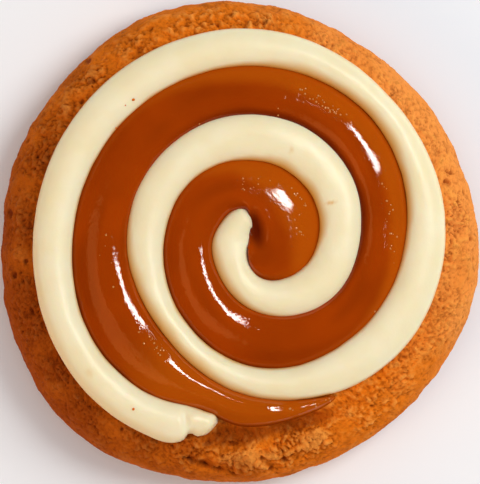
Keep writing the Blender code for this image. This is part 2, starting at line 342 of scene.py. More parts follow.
# Soft amber spots soaked into the cream: x, y, half length, half width, direction in degrees, and how deep
# the stain is.
SOAKED_SPOTS = {
    "inner": oval(11.6, 20.7, 0.9, 0.8, 20, 0.35),
    "right": oval(20.6, 8.9, 1.7, 0.6, 5, 0.65),
    "low_left": oval(-34.2, -29.6, 1.6, 1.2, 130, 0.25),
}

# Stage. The lights stand round the cookie at one distance. Azimuth is from +X, zenith from straight above,
# and each size is its width along the horizon and its height.
FLOOR_HALF = 0.9
LIGHT_DISTANCE = 0.9
KEY = {"azimuth": 36, "zenith": 24, "shape": "RECTANGLE", "size": (0.35, 0.15), "colour": (1.0, 0.97, 0.90)}
SOFT = {"azimuth": 25, "zenith": 42, "shape": "ELLIPSE", "size": (0.55, 0.55), "colour": (1.0, 0.99, 0.97)}
GLOW = {"azimuth": 215, "zenith": 60, "shape": "ELLIPSE", "size": (0.6, 0.6), "colour": (1.0, 0.60, 0.28)}
CARD = {"azimuth": 206, "zenith": 19, "shape": "ELLIPSE", "size": (0.50, 0.24), "colour": (1.0, 0.38, 0.10)}
SKY_COLOUR = (0.94, 0.98, 1.07)
CAMERA_SENSOR = 36.0
FRAME_WIDTH = 480
FRAME_HEIGHT = 484
SHOWN_WIDTH = 110.0 * MM


# Settings


def size_setting(name, description, default):
    """A setting for a size, in metres."""
    return FloatProperty(name=name, description=description, default=default, unit="LENGTH")


def colour_setting(name, description, default):
    """A setting for a colour."""
    return FloatVectorProperty(name=name, description=description, default=default, subtype="COLOR", size=3)


def power_setting(name, description, default):
    """A setting for a light's power, in watts."""
    return FloatProperty(name=name, description=description, default=default, unit="POWER")


class COOKIE_PG_biscuit(bpy.types.PropertyGroup):
    """Sizes and colours of the biscuit."""

    radius: size_setting("Radius", "Mean radius of the outline", 54.8 * MM)
    height: size_setting("Height", "Height of the flat top", 17.0 * MM)
    steps: IntProperty(name="Steps", description="Faces round the biscuit", default=1000, min=60)
    crust: colour_setting("Crust", "Golden crust", (0.84, 0.195, 0.008))
    # Browner baking at the foot and on one side, where it is also painted shade on the side turned from the
    # lights.
    baked_and_shade: colour_setting("Baked", "Browner patches and side", (0.29, 0.044, 0.0015))
    # Painted sheen on the side facing the lights.
    pale: colour_setting("Pale", "Paler side", (0.92, 0.31, 0.058))
    # Multiplied into pits, cracks and sunk forms: painted shade.
    pit: colour_setting("Pit", "Tint of pits and cracks", (0.36, 0.22, 0.12))
    # Painted highlight on the crumb tops and on raised forms such as the mound.
    crest: colour_setting("Crest", "Tops of the crumbs", (0.98, 0.37, 0.06))


class COOKIE_PG_cream(bpy.types.PropertyGroup):
    """Sizes and colours of the cream strand."""

    height: size_setting("Height", "Height of the strand", 5.2 * MM)
    sides: IntProperty(name="Sides", description="Faces round the strand", default=40, min=8)
    colour: colour_setting("Cream", "Cream", (0.91, 0.80, 0.50))
    blotch: colour_setting("Blotch", "Paler patches", (0.94, 0.85, 0.58))
    # A thin caramel stain, widened into painted warm shade on the flanks turned from the lights.
    stain_and_shade: colour_setting("Stain", "Caramel soaked into the edges", (0.72, 0.36, 0.028))


class COOKIE_PG_caramel(bpy.types.PropertyGroup):
    """Sizes and colours of the caramel strand."""

    height: size_setting("Height", "Height of the strand", 4.8 * MM)
    sides: IntProperty(name="Sides", description="Faces round the strand", default=48, min=8)
    colour: colour_setting("Caramel", "Thick caramel", (0.39, 0.049, 0.0010))
    deep: colour_setting("Deep", "Darker folds", (0.19, 0.022, 0.0006))
    # Thin edges, and painted light on the flanks facing the lights.
    amber: colour_setting("Amber", "Thin edges", (0.52, 0.105, 0.003))
    # Painted shade: the pit in the curl and the flanks turned from the lights.
    pit: colour_setting("Pit", "Inside of the fold in the middle", (0.12, 0.010, 0.001))
    # Painted glints on the small bubbles.
    bubble_glint: colour_setting("Bubble", "Small bubbles in the skin", (0.80, 0.36, 0.11))


class COOKIE_PG_stage(bpy.types.PropertyGroup):
    """Floor, lights and camera."""

    floor: colour_setting("Floor", "Pale floor", (0.93, 0.955, 0.975))
    key_power: power_setting("Gloss", "Light that the gloss shows", 4.9)
    soft_power: power_setting("Soft", "Broad side light", 4.9)
    glow_power: power_setting("Glow", "Warm light from the far side", 2.6)
    card_power: power_setting("Card", "Card that the gloss shows", 0.4)
    sky: FloatProperty(name="Sky", description="Strength of the surrounding light", default=0.45)
    lens: FloatProperty(name="Lens", description="Focal length", default=500.0, unit="CAMERA")


class COOKIE_PG_settings(bpy.types.PropertyGroup):
    """All the settings of the cookie."""

    biscuit: PointerProperty(type=COOKIE_PG_biscuit)
    cream: PointerProperty(type=COOKIE_PG_cream)
    caramel: PointerProperty(type=COOKIE_PG_caramel)
    stage: PointerProperty(type=COOKIE_PG_stage)


# Shapes that both strands and the biscuit use


def smooth_step(value, start, end):
    """0 at start and before, 1 at end and past it, with a soft change between them."""
    t = min(1.0, max(0.0, (value - start) / (end - start)))
    return t * t * (3 - 2 * t)


def course_at(stations, turn):
    """The values at a turn, on a smooth curve through stations of (turn, value, value...)."""
    last = len(stations) - 1
    after = next((i for i, station in enumerate(stations) if station[0] > turn), last)
    index = max(1, after)
    start, end = stations[index - 1], stations[index]
    span = end[0] - start[0]
    t = (turn - start[0]) / span

    def slope(at, column):
        before, behind = stations[max(0, at - 1)], stations[min(last, at + 1)]
        return (behind[column] - before[column]) / (behind[0] - before[0])

    values = []
    for column in range(1, len(start)):
        values.append(
            (2 * t**3 - 3 * t**2 + 1) * start[column]
            + (t**3 - 2 * t**2 + t) * span * slope(index - 1, column)
            + (3 * t**2 - 2 * t**3) * end[column]
            + (t**3 - t**2) * span * slope(index, column)
        )
    return values


def oval_reach(x, y, form):
    """How far a place is from the middle of an oval form, where 1 is the oval's edge."""
    away = Vector((x - form[0], y - form[1]))
    along = Vector((math.cos(math.radians(form[4])), math.sin(math.radians(form[4]))))
    across = Vector((-along.y, along.x))
    return math.hypot(away.dot(along) / form[2], away.dot(across) / form[3])


def form_rise(forms, x, y):
    """How far a set of oval forms lifts or sinks a surface at a place."""
    return sum(form[5] * (1 - smooth_step(oval_reach(x, y, form), 0.0, 1.0)) for form in forms.values())


def finish_piece(bm, name, material, slot, *nodes):
    """Make the bmesh a shaded object that rides on the cookie and takes the place of its nodes."""
    mesh = bpy.data.meshes.new(name)
    bm.to_mesh(mesh)
    bm.free()
    mesh.shade_smooth()
    mesh.materials.append(material)
    piece = bpy.data.objects.new(name, mesh)
    bpy.context.scene.collection.objects.link(piece)
    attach(piece, BODY)
    if nodes:
        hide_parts(*nodes)


# Materials


def rgba(colour):
    """A colour's three numbers as the four of a socket."""
    return (*colour, 1.0)


class Nodes:
    """A shader node tree, with short ways to add nodes to it. Most give back the new node's output socket."""

    def __init__(self, tree):
        self.tree = tree

    def add(self, kind, **settings):
        """A new node with its properties set."""
        node = self.tree.nodes.new(kind)
        for name, value in settings.items():
            setattr(node, name, value)
        return node

    def give(self, target, value):
        """Give an input a plain value, or link it where the value is itself a socket."""
        if isinstance(value, bpy.types.NodeSocket):
            self.tree.links.new(value, target)
        else:
            target.default_value = value

    def place(self):
        """The place on the piece, in its own coordinates."""
        return self.add("ShaderNodeTexCoord").outputs["Object"]

    def noise(self, scale, detail=2.0):
        """Soft noise over the piece."""
        node = self.add("ShaderNodeTexNoise")
        for name, value in (("Vector", self.place()), ("Scale", scale), ("Detail", detail)):
            self.give(node.inputs[name], value)
        return node.outputs["Fac"]

    def math(self, operation, *values):
        """The result of a sum on sockets and plain numbers."""
        node = self.add("ShaderNodeMath", operation=operation)
        for target, value in zip(node.inputs, values):
            self.give(target, value)
        return node.outputs["Value"]

    def span(self, value, low, high, to_low=0.0, to_high=1.0, change="LINEAR"):
        """A value moved from one range to another, and held inside it."""
        node = self.add("ShaderNodeMapRange", interpolation_type=change)
        ends = (("From Min", low), ("From Max", high), ("To Min", to_low), ("To Max", to_high))
        for name, number in (("Value", value), *ends):
            self.give(node.inputs[name], number)
        return node.outputs["Result"]

    def mix(self, factor, first, second, blend="MIX"):
        """The colour between two, each a socket or a plain colour."""
        node = self.add("ShaderNodeMix", data_type="RGBA", blend_type=blend)
        self.give(node.inputs["Factor"], factor)
        for name, colour in (("A", first), ("B", second)):
            is_socket = isinstance(colour, bpy.types.NodeSocket)
            self.give(node.inputs[name], colour if is_socket else rgba(colour))
        return node.outputs["Result"]

    def attribute(self, name):
        """The value of a piece's own attribute."""
        return self.add("ShaderNodeAttribute", attribute_name=name).outputs["Fac"]

    def group(self, group, **values):
        """A node group placed in this tree with its own values."""
        node = self.add("ShaderNodeGroup", node_tree=group)
        for name, value in values.items():
            self.give(node.inputs[name], value)
        return node.outputs[0]


def shared_group(name, inputs, output, fill):
    """A node group, made the first time. An input is (name, type, default), and the output (name, type)."""
    if name in bpy.data.node_groups:
        return bpy.data.node_groups[name]
    group = bpy.data.node_groups.new(name, "ShaderNodeTree")
    for label, kind, default in inputs:
        socket = group.interface.new_socket(name=label, in_out="INPUT", socket_type=kind)
        socket.default_value = default
    group.interface.new_socket(name=output[0], in_out="OUTPUT", socket_type=output[1])
    nodes = Nodes(group)
    result = fill(nodes, nodes.add("NodeGroupInput").outputs)
    nodes.give(nodes.add("NodeGroupOutput").inputs[0], result)
    return group


def mottle_group():
    """Node group: a colour that drifts to another in soft patches of a given size."""
    inputs = (
        ("Colour", "NodeSocketColor", (0.8, 0.8, 0.8, 1.0)),
        ("Patch", "NodeSocketColor", (0.5, 0.5, 0.5, 1.0)),
        ("Scale", "NodeSocketFloat", 200.0),
        ("Amount", "NodeSocketFloat", 1.0),
    )

    def fill(nodes, given):
        patches = nodes.span(nodes.noise(given["Scale"], detail=3.0), 0.38, 0.66)
        return nodes.mix(nodes.math("MULTIPLY", patches, given["Amount"]), given["Colour"], given["Patch"])

    return shared_group("soft_mottle", inputs, ("Colour", "NodeSocketColor"), fill)


def grain_group():
    """Node group: a height from fine grain over coarser grain, for a Bump node."""
    inputs = (("Coarse", "NodeSocketFloat", 900.0), ("Fine", "NodeSocketFloat", 3000.0))

    def fill(nodes, given):
        fine = nodes.add("ShaderNodeTexVoronoi")
        nodes.give(fine.inputs["Vector"], nodes.place())
        nodes.give(fine.inputs["Scale"], given["Fine"])
        coarse = nodes.noise(given["Coarse"], detail=4.0)
        return nodes.math("MULTIPLY_ADD", fine.outputs["Distance"], 0.35, coarse)

    return shared_group("fine_grain", inputs, ("Height", "NodeSocketFloat"), fill)


def torn_group():
    """Node group: a mask of small torn pits with uneven edges, more of them in some patches."""
    inputs = (("Scale", "NodeSocketFloat", 900.0), ("Patches", "NodeSocketFloat", 120.0))

    def fill(nodes, given):
        pits = nodes.noise(given["Scale"], detail=1.5)
        total = nodes.math("MULTIPLY_ADD", nodes.noise(given["Patches"]), 0.35, pits)
        return nodes.span(total, 0.66, 0.94, change="SMOOTHSTEP")

    return shared_group("torn_pits", inputs, ("Mask", "NodeSocketFloat"), fill)


class Finish(Nodes):
    """One food's material: its node tree and its Principled shader."""

    def __init__(self, name):
        self.material = bpy.data.materials.new(name)
        self.material.use_nodes = True
        super().__init__(self.material.node_tree)
        self.shader = self.tree.nodes["Principled BSDF"]

    def set(self, **values):
        """Set the shader's own sockets, whose names have an underscore for each space."""
        for name, value in values.items():
            self.shader.inputs[name.replace("_", " ")].default_value = value

    def feed(self, name, source):
        """Link a socket to one of the shader's own."""
        self.tree.links.new(source, self.shader.inputs[name])

    def bump(self, height, distance):
        """Feed a height to the shader's normal through a Bump node, whose normal is given back."""
        node = self.add("ShaderNodeBump")
        node.inputs["Distance"].default_value = distance
        self.give(node.inputs["Height"], height)
        self.feed("Normal", node.outputs["Normal"])
        return node.outputs["Normal"]


def biscuit_finish(look):
    """Baked crumb: golden and browner at the foot; browner on the side turned from the lights through baking and
    painted shade; painted sheen on the side facing them; painted highlights on crumb tops; painted shade in pits.
    """
    finish = Finish("crumb_crust")
    darker = rgba([channel * 0.74 for channel in look.crust])
    mottle = finish.group(mottle_group(), Colour=rgba(look.crust), Patch=darker, Scale=400.0, Amount=0.6)
    # Painted sheen: the crust is paler on the side facing the lights.
    lit = finish.mix(finish.attribute("pale"), mottle, look.pale)
    # Painted highlight: the crumb tops are paler.
    crumbs = finish.mix(finish.span(finish.attribute("crest"), 0.25, 0.95, 0.0, 0.75), lit, look.crest)
    # Browner on one side: uneven baking and painted shade on the side turned from the lights.
    sided = finish.mix(finish.span(finish.attribute("baked_and_shade"), 0.05, 0.95, 0.0, 0.88), crumbs, look.baked_and_shade)
    parts = finish.add("ShaderNodeSeparateXYZ")
    finish.give(parts.inputs["Vector"], finish.place())
    foot = finish.mix(finish.span(parts.outputs["Z"], 6.0 * MM, 0.0, 0.0, 0.85), sided, look.baked_and_shade)
    torn = finish.group(torn_group(), Scale=880.0, Patches=160.0)
    # Painted shade in the small torn pits.
    dotted = finish.mix(finish.span(torn, 0.0, 1.0, 0.0, 0.4), foot, look.pit, "MULTIPLY")
    # Painted shade in the pits, cracks and sunk forms of the crust.
    pit_share = finish.span(finish.attribute("pit"), 0.0, 1.0, 0.0, 0.85)
    finish.feed("Base Color", finish.mix(pit_share, dotted, look.pit, "MULTIPLY"))
    finish.feed("Roughness", finish.span(finish.attribute("crest"), 0.0, 1.0, 0.85, 0.6))
    grain = finish.group(grain_group(), Coarse=900.0, Fine=1500.0)
    finish.bump(finish.math("MULTIPLY_ADD", torn, -0.4, grain), 0.4 * MM)
    finish.set(Specular_IOR_Level=0.04)
    return finish.material


def cream_finish(look):
    """Whipped cream filling: pale, softly lit through, with a caramel stain and painted warm shade along its
    edges.
    """
    finish = Finish("whipped_cream")
    mottle = finish.group(
        mottle_group(), Colour=rgba(look.colour), Patch=rgba(look.blotch), Scale=110.0, Amount=0.8)
    # Caramel stain and painted warm shade along the edges.
    finish.feed("Base Color", finish.mix(finish.attribute("stain_and_shade"), mottle, look.stain_and_shade))
    finish.bump(finish.group(grain_group(), Coarse=500.0, Fine=1800.0), 0.03 * MM)
    finish.set(Roughness=0.38, Specular_IOR_Level=0.4, Subsurface_Weight=0.3, Subsurface_Scale=1.2 * MM)
    finish.set(Subsurface_Radius=(1.0, 0.6, 0.3))
    return finish.material


def caramel_finish(look):
    """Boiled milk caramel: deep orange brown, wet gloss, amber where it thins and as painted light on the flanks
    facing the lights, dark in its folds, with painted shade in its pit and on its flanks turned from the lights.
    """
    finish = Finish("wet_caramel")
    tint = finish.group(
        mottle_group(), Colour=rgba(look.colour), Patch=rgba(look.deep), Scale=55.0, Amount=0.3)
    # fold darkens in streaks; amber is thin edges and painted light; shade and pit are painted shade; bubble is a
    # painted glint.
    layers = (("fold", look.deep), ("amber", look.amber), ("shade", look.pit), ("pit", look.pit))
    for name, colour in (*layers, ("bubble_glint", look.bubble_glint)):
        tint = finish.mix(finish.attribute(name), tint, colour)
    finish.feed("Base Color", tint)
    rippled = finish.span(finish.attribute("rippled"), 0.0, 1.0, 0.3, 1.0)
    skin = finish.bump(finish.math("MULTIPLY", finish.noise(1500.0), rippled), 0.11 * MM)
    finish.feed("Coat Normal", skin)
    finish.feed("Coat Weight", finish.span(finish.attribute("dull"), 0.0, 1.0, 1.0, 0.0))
    finish.set(Roughness=0.3, Specular_IOR_Level=0.0, Subsurface_Weight=0.12, Subsurface_Scale=1.0 * MM)
    finish.set(Subsurface_Radius=(1.0, 0.25, 0.05), Coat_Roughness=0.03, Coat_IOR=1.5)
    return finish.material


# Biscuit


def outline_radius(radius, angle):
    """How far the uneven outline lies from the middle, in a direction given in radians."""
    return radius + sum(
        swing * math.cos(waves * (angle - math.radians(crest))) for waves, swing, crest in OUTLINE_WAVES)


def biscuit_profile(radius, height, spacing):
    """(radius, height) from the middle of the top, over the shoulder and the side, to that of the foot."""
    points = [(reach, height) for reach in COARSE_TOP]
    flat_steps = round((CRUMB_INSET - SHOULDER_INSET) / (FLAT_SPACING * spacing))
    for step in range(flat_steps):
        points.append((radius - CRUMB_INSET + step * FLAT_SPACING * spacing, height))
    shoulder_steps = round(SHOULDER_LENGTH / spacing)
    for step in range(shoulder_steps + 1):
        t = math.radians(90 * (1 - step / shoulder_steps))
        points.append((radius - SHOULDER_INSET * (1 - math.cos(t)),
                       GIRTH_HEIGHT + (height - GIRTH_HEIGHT) * math.sin(t)))
    foot_steps = round(FOOT_LENGTH / (2 * spacing))
    for step in range(1, foot_steps + 1):
        t = math.radians(90 * step / foot_steps)
        points.append((radius - FOOT_INSET * (1 - math.cos(t)), GIRTH_HEIGHT * (1 - math.sin(t))))
    return points + [(reach, 0.0) for reach in COARSE_FOOT]


def crag(place, inset):
    """How far the solid's own crags stand out at a place on the rim, nought on the top and at the foot."""
    weight = 1 - smooth_step(inset, CRAG_FULL_INSET, CRAG_START_INSET)
    weight *= smooth_step(place.z, 0.0, CRAG_FOOT)
    coarse = noise.noise(place / CRAG_SIZE)
    fine = noise.noise(place / FINE_CRAG_SIZE + FINE_CRAG_SHIFT)
    return CRAG_DEPTH * weight * (coarse + FINE_CRAG_SHARE * fine)


def pit_depth(place, crumbly):
    """0 to 1: how deep a place lies in one of the small torn pits scattered over the crust."""
    bent = place + PIT_BEND * noise.noise_vector(place / PIT_BEND_SIZE)
    distances, centres = noise.voronoi(bent / PIT_SPACING)
    chance = 0.5 + 0.5 * noise.cell(centres[0] * 3.7)
    share = PIT_SHARE * (0.35 + 1.1 * crumbly)
    if chance > share:
        return 0.0
    reach = 0.15 + 0.15 * chance / share
    return 1 - smooth_step(distances[0], 0.3 * reach, reach)


def torn_depth(place):
    """(0 to 1, depth): how deep a place lies in one of the larger torn pits."""
    bent = place + TORN_BEND * noise.noise_vector(place / TORN_BEND_SIZE)
    best = (0.0, 0.0)
    for pit in TORN_PITS:
        if abs(bent.x - pit[0]) + abs(bent.y - pit[1]) < TORN_REACH:
            share = 1 - smooth_step(oval_reach(bent.x, bent.y, pit), 0.4, 1.0)
            best = max(best, (share, pit[5]))
    return best


def crumb_relief(place, inset):
    """(rise, crest, pit): the fine relief of the crust, its painted highlight on crumb tops and its painted shade
    in pits and cracks.
    """
    crumbly = 0.35 + 0.65 * smooth_step(noise.noise(place / PATCH_SIZE), -0.4, 0.2)
    crumbly *= 0.25 + 0.75 * smooth_step(inset, 0.0, CRUMB_FULL_INSET)
    crumb = noise.turbulence(place / CRUMB_SIZE, 3, True)
    lump = noise.noise(place / LUMP_SIZE + LUMP_SHIFT)
    pit = pit_depth(place, crumbly)
    torn, depth = torn_depth(place)
    broken = 1 + form_rise(BROKEN_CRUST, place.x, place.y)
    rise = broken * (LUMP_DEPTH * lump + CRUMB_DEPTH * (0.2 + crumbly) * (crumb - CRUMB_LEVEL))
    rise -= max(PIT_DEPTH * pit, depth * torn)
    # crest: painted highlight on the raised crumbs.
    crest = max(0.0, min(1.0, broken * (0.4 * lump + 1.2 * crumbly * (crumb - 0.35)) + 0.25))
    # dark: painted shade in pits, torn pits and the cracks between crumbs.
    dark = max(pit, torn, min(1.0, 0.7 * broken * crumbly) * smooth_step(CRACK_LEVEL - crumb, 0.0, 0.25))
    return rise, crest, dark


def shape_biscuit(bm, look):
    """Spread the turned shape to its uneven outline and give it its forms, crags and crumb."""
    crest_highlight_layer = bm.verts.layers.float.new("crest")
    pit_shade_layer = bm.verts.layers.float.new("pit")
    baked_and_shade_layer = bm.verts.layers.float.new("baked_and_shade")
    painted_sheen_layer = bm.verts.layers.float.new("pale")
    baked_and_shaded_side = Vector((math.cos(BAKED_AND_SHADED_SIDE), math.sin(BAKED_AND_SHADED_SIDE), 0.0)) / look.radius
    painted_sheen_side = Vector((math.cos(PAINTED_SHEEN_SIDE), math.sin(PAINTED_SHEEN_SIDE), 0.0)) / look.radius
    for vert in bm.verts:
        stretch = outline_radius(look.radius, math.atan2(vert.co.y, vert.co.x)) / look.radius
        vert.co.x *= stretch
        vert.co.y *= stretch
    bm.normal_update()
    for vert in bm.verts:
        place = vert.co.copy()
        patch = noise.noise(place / PATCH_SIZE)
        # Browner on one side: uneven baking and painted shade on the side turned from the lights.
        vert[baked_and_shade_layer] = place.dot(baked_and_shaded_side) + 0.35 * patch
        # Painted sheen on the side facing the lights.
        vert[painted_sheen_layer] = smooth_step(place.dot(painted_sheen_side) + 0.2 * patch, 0.3, 1.0)
        inset = outline_radius(look.radius, math.atan2(place.y, place.x)) - math.hypot(place.x, place.y)
        if place.z < FLAT_TOLERANCE and inset > FOOT_INSET:
            vert.co.z += FOOT_DIMPLE * max(0.0, noise.noise(place / FOOT_DIMPLE_SIZE) + 0.2)
            vert[crest_highlight_layer] = 0.3
            continue
        if place.z > look.height - FLAT_TOLERANCE and inset > CRUMB_INSET:
            continue
        rise, crest, dark = crumb_relief(place, inset)
        fine = smooth_step(place.z, 0.0, RELIEF_FOOT)
        if place.z > GIRTH_HEIGHT:
            fine *= 1 - smooth_step(inset, CRUMB_INSET - CRUMB_FADE, CRUMB_INSET)
        lift = form_rise(TOP_FORMS, place.x, place.y) if place.z > GIRTH_HEIGHT else 0.0
        rise *= RIM_RELIEF + (1 - RIM_RELIEF) * smooth_step(inset, 0.0, CRUMB_FULL_INSET)
        vert.co += vert.normal * (crag(place, inset) + rise * fine) + Vector((0, 0, lift))
        vert.co.z = max(0.0, vert.co.z)
        # Raised forms get more painted highlight.
        vert[crest_highlight_layer] = min(1.0, crest + 0.8 * max(0.0, lift / MM))
        # Painted shade, weaker on raised forms and strongest in the sunk forms below the caramel's tail.
        dark *= 1 - 0.5 * min(1.0, max(0.0, lift / MM))
        vert[pit_shade_layer] = max(dark * fine, 0.8 * smooth_step(-lift, *RECESS_SHADE))


def biscuit_mesh(look):
    """The whole biscuit: a profile spun round, merged at its poles and shaped, with its pits bent from a seed."""
    noise.seed_set(BEND_SEED)
    spacing = math.tau * look.radius / look.steps
    bm = bmesh.new()
    course = biscuit_profile(look.radius, look.height, spacing)
    profile = [bm.verts.new((reach, 0.0, height)) for reach, height in course]
    edges = [bm.edges.new(pair) for pair in zip(profile, profile[1:])]
    bmesh.ops.spin(
        bm, geom=profile + edges, cent=(0, 0, 0), axis=(0, 0, 1), angle=math.tau, steps=look.steps,
        use_merge=True)
    bmesh.ops.remove_doubles(bm, verts=bm.verts, dist=MERGE_DISTANCE)
    bmesh.ops.recalc_face_normals(bm, faces=bm.faces)
    shape_biscuit(bm, look)
    return bm


class COOKIE_OT_biscuit(bpy.types.Operator):
    """Add the craggy biscuit"""

    bl_idname = "cookie.biscuit"
    bl_label = "Biscuit"

    def execute(self, context):
        look = context.scene.cookie.biscuit
        finish_piece(biscuit_mesh(look), "crumb_biscuit", biscuit_finish(look), "baked_biscuit", "biscuit")
        return {"FINISHED"}


# Strands


def polar(radius, turn):
    """The place at a radius and a turn about the coil's centre."""
    return Vector((COIL_CENTRE[0] + radius * math.cos(math.radians(turn)),
                   COIL_CENTRE[1] + radius * math.sin(math.radians(turn))))


def cream_sides(turn):
    """The inner and the outer side of the cream strand at a turn."""
    radius, width = course_at(CREAM_COURSE, turn)
    return polar(radius - width / 2, turn), polar(radius + width / 2, turn)


def caramel_inner_side(turn):
    """The side of the caramel strand on the crease, or later against the turn of cream inside it."""
    if turn >= CREASE_END:
        return cream_sides(turn)[1]
    meeting = cream_sides(CREASE_END)[1] - Vector(COIL_CENTRE)
    x, y = course_at(CREASE + ((CREASE_END, meeting.x, meeting.y),), turn)
    return Vector((COIL_CENTRE[0] + x, COIL_CENTRE[1] + y))


def caramel_outer_side(turn):
    """The side of the caramel strand against the next turn of cream, or free along the tail."""
    if turn >= TAIL_START:
        return polar(course_at(TAIL_EDGE, turn)[0], turn)
    return cream_sides(turn + 360)[0]


def lapped(sides, inner_lap, outer_lap):
    """The two sides of a strand moved out by how far each laps its neighbour, or in by a lap below nought."""
    inner, outer = sides
    across = (outer - inner).normalized()
    return inner - across * inner_lap, outer + across * outer_lap


def cream_lapped(turn):
    """The sides of the cream strand, a little under the caramel that lies along it past its curled start."""
    lap = CREAM_LAP * smooth_step(turn, CREASE_END, CREASE_END + 60)
    return lapped(cream_sides(turn), lap, lap * (1 - smooth_step(turn, LAST_COVERED - 30, LAST_COVERED)))


def caramel_lapped(turn):
    """The sides of the caramel strand, a hair inside the cream's but for its own crease and free edge."""
    inner_lap = CARAMEL_LAP * smooth_step(turn, CREASE_END, CREASE_END + 40)
    outer_lap = CARAMEL_LAP * (1 - smooth_step(turn, TAIL_START - 25, TAIL_START + 5))
    outer_lap *= smooth_step(turn, CARAMEL_START, CARAMEL_START + 60)
    return lapped((caramel_inner_side(turn), caramel_outer_side(turn)), inner_lap, outer_lap)


def ring_turns(start, end, start_nose, end_nose):
    """The turns that get a ring, evenly along the strand and closing up towards its tips."""
    count = math.ceil((end - end_nose - start - start_nose) / RING_STEP)
    step = (end - end_nose - start - start_nose) / count
    body = [start + start_nose + step * index for index in range(count + 1)]
    shares = [1 - math.cos(math.radians(90 * index / NOSE_RINGS)) for index in range(NOSE_RINGS)]
    return ([start + start_nose * share for share in shares] + body
            + [end - end_nose * share for share in reversed(shares)])


def nose_scale(turn, start, end, start_nose, end_nose):
    """1 along the strand, falling along a quarter circle to each tip."""
    near = min(1.0, (turn - start) / start_nose, (end - turn) / end_nose)
    return max(TIP_SCALE, math.sqrt(max(0.0, 1 - (1 - near) ** 2)))


class Strand:
    """A piped strand: its sides by turn, its ends, and the form of its section."""

    def __init__(self, sides, height, count, span, noses, lean=lambda turn: 0.0):
        self.sides = sides
        self.height = height
        self.count = count
        self.span = span
        self.noses = noses
        self.lean = lean

    def shape_section(self, verts):
        """Press a unit circle into the section of a strand that has settled."""
        for vert in verts:
            across, height = vert.co.x, vert.co.y
            if height >= 0:
                level = WAIST + (1 - WAIST) * height
            else:
                level = WAIST * (1 - min(1.0, -height) ** FLATTENING)
            vert.co = Vector((across, 0.0, level))

    def frame(self, turn, base):
        """The matrix that takes the unit section to its place between the two sides of the strand."""
        inner, outer = self.sides(turn)
        scale = nose_scale(turn, *self.span, *self.noses)
        reach = outer - inner
        across = reach.normalized()
        middle = (inner + outer) / 2
        half = reach.length / 2 * scale
        rise = (self.height * min(1.0, reach.length / THIN_WIDTH) ** THIN_DROP + SEAT_SINK) * scale
        lean = self.lean(turn) * half / (1 - WAIST)
        return Matrix((
            (across.x * half, -across.y, across.x * lean, middle.x - across.x * lean * WAIST),
            (across.y * half, across.x, across.y * lean, middle.y - across.y * lean * WAIST),
            (0.0, 0.0, rise, base - SEAT_SINK),
            (0.0, 0.0, 0.0, 1.0),
        ))

    def sweep(self, base):
        """The closed strand, with layers for the place across it, the turn and the length along it."""
        turns = ring_turns(*self.span, *self.noses)
        bm = bmesh.new()
        across_layer = bm.verts.layers.float.new("across")
        turn_layer = bm.verts.layers.float.new("turn")
        along_layer = bm.verts.layers.float.new("along")
        ring = bmesh.ops.create_circle(bm, segments=self.count, radius=1.0)["verts"]
        for vert in ring:
            vert[across_layer] = vert.co.x
            vert[turn_layer] = turns[0]
        self.shape_section(ring)
        before = self.frame(turns[0], base)
        bmesh.ops.transform(bm, matrix=before, verts=ring)
        edges = list(bm.edges)
        bmesh.ops.contextual_create(bm, geom=edges)
        length = 0.0
        for turn in turns[1:]:
            after = self.frame(turn, base)
            length += (after.translation - before.translation).length
            grown = bmesh.ops.extrude_edge_only(bm, edges=edges)["geom"]
            ring = [item for item in grown if isinstance(item, bmesh.types.BMVert)]
            edges = [item for item in grown if isinstance(item, bmesh.types.BMEdge)]
            bmesh.ops.transform(bm, matrix=after @ before.inverted(), verts=ring)
            for vert in ring:
                vert[turn_layer] = turn
                vert[along_layer] = length
            before = after
        bmesh.ops.contextual_create(bm, geom=edges)
        bmesh.ops.recalc_face_normals(bm, faces=bm.faces)
        bm.normal_update()
        return bm, across_layer, turn_layer, along_layer


def cream_stain_and_shade(place, across, turn, along):
    """0 to 1: how deep the caramel stain and the painted warm shade lie on the cream at a place."""
    # Flanks turned from the lights get a wider band of painted shade.
    facing = math.copysign(1.0, across) * math.cos(math.radians(turn - SHADED_FLANK_DIRECTION))
    deepest = INNER_STAIN_AND_SHADE if across < 0 or turn > LAST_COVERED else OUTER_STAIN_AND_SHADE
    reach = THIN_STAIN_AND_SHADE + (deepest - THIN_STAIN_AND_SHADE) * smooth_step(facing, 0.4, 1.05)
    reach *= 1 + STAIN_AND_SHADE_WAVER * noise.noise(Vector((along / STAIN_AND_SHADE_WAVER_LENGTH, across, 4.0)))
    inset = (1 - abs(across)) * course_at(CREAM_COURSE, turn)[1] / 2
    depth = 1 - min(1.0, inset / reach)
    touches = turn > FIRST_TOUCH if across < 0 else turn < LAST_COVERED
    spots = max(form[5] * (1 - smooth_step(oval_reach(place.x, place.y, form), 0.2, 1.0))
                for form in SOAKED_SPOTS.values())
    return max(spots, depth * (1.0 if touches else OPEN_SIDE_SHADE))


